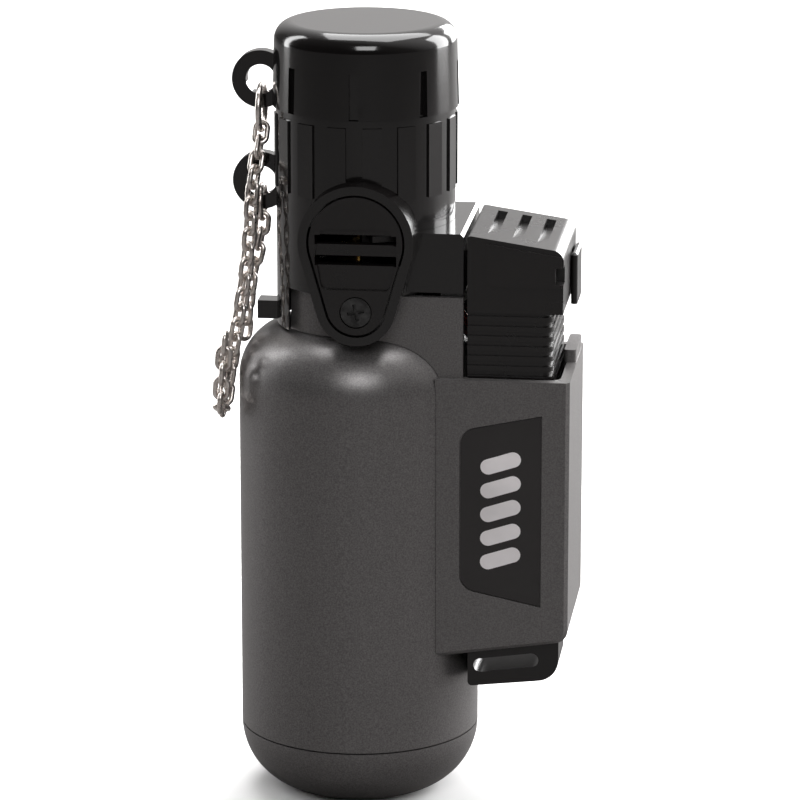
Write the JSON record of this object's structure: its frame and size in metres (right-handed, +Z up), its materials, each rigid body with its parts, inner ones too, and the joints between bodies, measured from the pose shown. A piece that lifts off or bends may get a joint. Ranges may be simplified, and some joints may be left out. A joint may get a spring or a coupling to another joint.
{
  "type": "butane torch",
  "caption": "Pocket butane torch: round fuel tank, side trigger housing, capped burner head, flow lever, keeper chain.",
  "frame": {"origin": "on the tank's axis at the plane it stands on", "axes": "+Z up along the tank, -Y the front with the egg-shaped cover and the label, +X the trigger side"},
  "size_m": [0.0487, 0.0324, 0.1065],
  "materials": {
    "tank_paint": "satin metallic gunmetal lacquer",
    "housing_paint": "satin metallic grey lacquer",
    "clear_nylon": "natural nylon",
    "brass": "turned",
    "rubber": "matte",
    "label_black": "smooth, with a plain pale motif",
    "black_plastic": "moulded",
    "dark_screw": "black oxide",
    "gloss_black": "glossy moulded",
    "satin_black": "semi-gloss moulded",
    "steel": "stamped",
    "spring_steel": "drawn wire",
    "ceramic": "glazed",
    "wire_jacket": "silicone jacket",
    "ivory_plastic": "moulded",
    "nickel": "nickel plated wire"
  },
  "bodies": {
    "root": {"tank_jacket": "tank_paint", "base_cup": "tank_paint", "fuel_reservoir": "clear_nylon", "filler_body": "brass", "filler_gasket": "rubber", "filler_retainer": "brass", "side_housing": "housing_paint", "label_panel": "label_black", "lanyard_bracket": "black_plastic", "bracket_screw": "dark_screw", "collar_screw": "dark_screw", "head_sleeve": "gloss_black", "cover_plate": "satin_black", "cover_screw": "dark_screw", "frame_block": "gloss_black", "neck_gasket": "rubber", "valve_bridge": "steel", "rocker_pin": "steel", "outlet_valve_body": "brass", "outlet_spring": "spring_steel", "filler_spring": "spring_steel", "piezo_spring": "spring_steel", "head_deck": "black_plastic", "jet_holder": "brass", "gas_jet": "brass", "mixing_tube": "steel", "flame_tube": "steel", "flame_holder": "steel", "burner_plate": "steel", "insulator": "ceramic", "electrode": "steel", "ignition_wire": "wire_jacket", "piezo_case": "ivory_plastic", "body_ring": "nickel", "chain_body_strand": "nickel"},
    "filler_stem": {"filler_stem": "brass", "filler_stem_seal": "rubber"},
    "outlet_stem": {"outlet_stem": "brass", "stem_pad": "rubber"},
    "rocker": {"rocker": "steel"},
    "flow_lever": {"flow_lever": "black_plastic"},
    "trigger": {"trigger_cap": "satin_black", "ribbed_skirt": "satin_black", "piezo_plunger": "ivory_plastic"},
    "safety_catch": {"safety_catch": "black_plastic"},
    "cap": {"cap": "gloss_black", "cap_ring": "nickel", "chain_cap_strand": "nickel"},
    "chain_bight": {"chain_bight": "nickel"}
  },
  "joints": [
    {"name": "cap_lift", "type": "slide", "parent": "root", "child": "cap", "axis": [0, 0, 1], "range_m": [0, 0.014]},
    {"name": "chain_follow", "type": "slide", "parent": "root", "child": "chain_bight", "axis": [0, 0, 1], "range_m": [0, 0.007]},
    {"name": "trigger_press", "type": "slide", "parent": "root", "child": "trigger", "axis": [0, 0, -1], "range_m": [0, 0.0055], "stiffness_N_per_m": 900, "springref_m": -0.002, "deforming": ["piezo_spring"]},
    {"name": "rocker_swing", "type": "hinge", "parent": "root", "child": "rocker", "pos_m": [0.0092, 0, 0.0755], "axis": [0, 1, 0], "range_deg": [0, 6.88]},
    {"name": "outlet_lift", "type": "slide", "parent": "root", "child": "outlet_stem", "axis": [0, 0, 1], "range_m": [0, 0.0011], "deforming": ["outlet_spring"]},
    {"name": "flow_adjust", "type": "hinge", "parent": "root", "child": "flow_lever", "pos_m": [0, 0, 0.0728], "axis": [0, 0, 1], "range_deg": [-27, 0]},
    {"name": "catch_slide", "type": "slide", "parent": "trigger", "child": "safety_catch", "axis": [0, 0, 1], "range_m": [0, 0.0014]},
    {"name": "filler_press", "type": "slide", "parent": "root", "child": "filler_stem", "axis": [0, 0, 1], "range_m": [0, 0.0012], "stiffness_N_per_m": 400, "springref_m": -0.001, "deforming": ["filler_spring"]}
  ],
  "couplings": [
    {"joint": "chain_follow", "follows": "cap_lift", "ratio": 0.5},
    {"joint": "rocker_swing", "follows": "trigger_press", "rad_per_m": 21.8},
    {"joint": "outlet_lift", "follows": "trigger_press", "ratio": 0.2}
  ]
}
